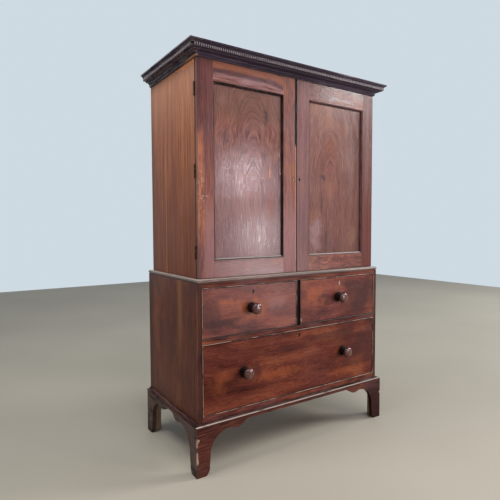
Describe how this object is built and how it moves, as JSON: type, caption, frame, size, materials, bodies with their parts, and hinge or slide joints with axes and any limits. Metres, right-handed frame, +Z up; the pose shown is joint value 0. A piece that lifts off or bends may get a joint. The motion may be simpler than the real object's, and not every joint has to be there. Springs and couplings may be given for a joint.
{
  "type": "linen press",
  "caption": "Linen press: a cupboard with framed doors, trays and a dentilled cornice, on a chest of cock-beaded drawers with turned knobs and bracket feet",
  "frame": {"origin": "on the floor, in the middle of the press's outline seen from above", "axes": "+Z up, -Y out of the doors and drawers towards the user, +X to the right of someone facing the press"},
  "size_m": [1.276, 0.656, 1.986],
  "materials": {
    "base_wood": "worn red-brown polish with pale chips on the arrises",
    "edge_moulding_wood": "worn polish, rubbed pale along the edges",
    "chest_wood": "dark red-brown polish",
    "cupboard_side_wood": "faded tan-brown polish with straight grain",
    "drawer_wood": "satin red-brown polish over swirled grain",
    "knob_wood": "dark glossy polish",
    "door_frame_wood": "satin red-brown polish",
    "door_panel_wood": "satin red-brown polish over upright figure",
    "door_moulding_wood": "dark polish",
    "cornice_wood": "very dark plum-brown polish",
    "drawer_lining_wood": "dry oak, unpolished",
    "tray_wood": "plain waxed wood",
    "carcase_wood": "dry pine, darkened with age",
    "brass": "dull aged brass",
    "steel": "dull worn steel"
  },
  "bodies": {
    "root": {"back_brackets": "carcase_wood", "case_hinges": "brass", "cornice_frame": "carcase_wood", "cornice_moulding": "cornice_wood", "dentil_strips": "cornice_wood", "drawer_divider": "chest_wood", "drawer_guide": "carcase_wood", "drawer_kickers": "carcase_wood", "drawer_rails": "chest_wood", "drawer_runners": "carcase_wood", "drawer_stops": "carcase_wood", "dustboards": "carcase_wood", "foot_blocks": "carcase_wood", "lower_back": "carcase_wood", "lower_bottom": "carcase_wood", "lower_sides": "chest_wood", "lower_top": "carcase_wood", "plinth_front": "base_wood", "plinth_moulding": "edge_moulding_wood", "plinth_sides": "base_wood", "tray_1": "tray_wood", "tray_2": "tray_wood", "tray_3": "tray_wood", "tray_4": "tray_wood", "tray_runners": "carcase_wood", "upper_back": "carcase_wood", "upper_bottom": "carcase_wood", "upper_sides": "cupboard_side_wood", "upper_top": "carcase_wood", "waist_moulding": "edge_moulding_wood"},
    "left_door": {"left_door_bolt_plates": "brass", "left_door_hinges": "brass", "left_door_moulding": "door_moulding_wood", "left_door_panel": "door_panel_wood", "left_door_rails": "door_frame_wood", "left_door_stiles": "door_frame_wood"},
    "right_door": {"right_door_hinges": "brass", "right_door_lock": "brass", "right_door_moulding": "door_moulding_wood", "right_door_panel": "door_panel_wood", "right_door_rails": "door_frame_wood", "right_door_stiles": "door_frame_wood"},
    "left_drawer": {"left_drawer_beads_and_knobs": "knob_wood", "left_drawer_box": "drawer_lining_wood", "left_drawer_front": "drawer_wood", "left_drawer_lock": "brass"},
    "right_drawer": {"right_drawer_beads_and_knobs": "knob_wood", "right_drawer_box": "drawer_lining_wood", "right_drawer_front": "drawer_wood", "right_drawer_lock": "brass"},
    "long_drawer": {"long_drawer_beads_and_knobs": "knob_wood", "long_drawer_box": "drawer_lining_wood", "long_drawer_front": "drawer_wood", "long_drawer_lock": "brass"},
    "left_drawer_lock_bolt": {"left_drawer_lock_bolt": "steel"},
    "right_drawer_lock_bolt": {"right_drawer_lock_bolt": "steel"},
    "long_drawer_lock_bolt": {"long_drawer_lock_bolt": "steel"},
    "right_door_lock_bolt": {"right_door_lock_bolt": "steel"},
    "left_door_top_bolt": {"left_door_top_bolt": "steel"},
    "left_door_bottom_bolt": {"left_door_bottom_bolt": "steel"}
  },
  "joints": [
    {"name": "left_door_hinge", "type": "hinge", "parent": "root", "child": "left_door", "pos_m": [-0.5835, -0.22425, 1.4215], "axis": [0, 0, -1], "range_deg": [0, 165]},
    {"name": "right_door_hinge", "type": "hinge", "parent": "root", "child": "right_door", "pos_m": [0.5835, -0.22425, 1.4215], "axis": [0, 0, 1], "range_deg": [0, 165]},
    {"name": "left_drawer_slide", "type": "slide", "parent": "root", "child": "left_drawer", "axis": [0, -1, 0], "range_m": [0, 0.42]},
    {"name": "right_drawer_slide", "type": "slide", "parent": "root", "child": "right_drawer", "axis": [0, -1, 0], "range_m": [0, 0.42]},
    {"name": "long_drawer_slide", "type": "slide", "parent": "root", "child": "long_drawer", "axis": [0, -1, 0], "range_m": [0, 0.42]},
    {"name": "left_drawer_lock_throw", "type": "slide", "parent": "left_drawer", "child": "left_drawer_lock_bolt", "axis": [0, 0, 1], "range_m": [0, 0.008]},
    {"name": "right_drawer_lock_throw", "type": "slide", "parent": "right_drawer", "child": "right_drawer_lock_bolt", "axis": [0, 0, 1], "range_m": [0, 0.008]},
    {"name": "long_drawer_lock_throw", "type": "slide", "parent": "long_drawer", "child": "long_drawer_lock_bolt", "axis": [0, 0, 1], "range_m": [0, 0.008]},
    {"name": "right_door_lock_throw", "type": "slide", "parent": "right_door", "child": "right_door_lock_bolt", "axis": [-1, 0, 0], "range_m": [0, 0.013]},
    {"name": "left_door_top_bolt_slide", "type": "slide", "parent": "left_door", "child": "left_door_top_bolt", "axis": [0, 0, 1], "range_m": [0, 0.013]},
    {"name": "left_door_bottom_bolt_slide", "type": "slide", "parent": "left_door", "child": "left_door_bottom_bolt", "axis": [0, 0, -1], "range_m": [0, 0.013]}
  ]
}
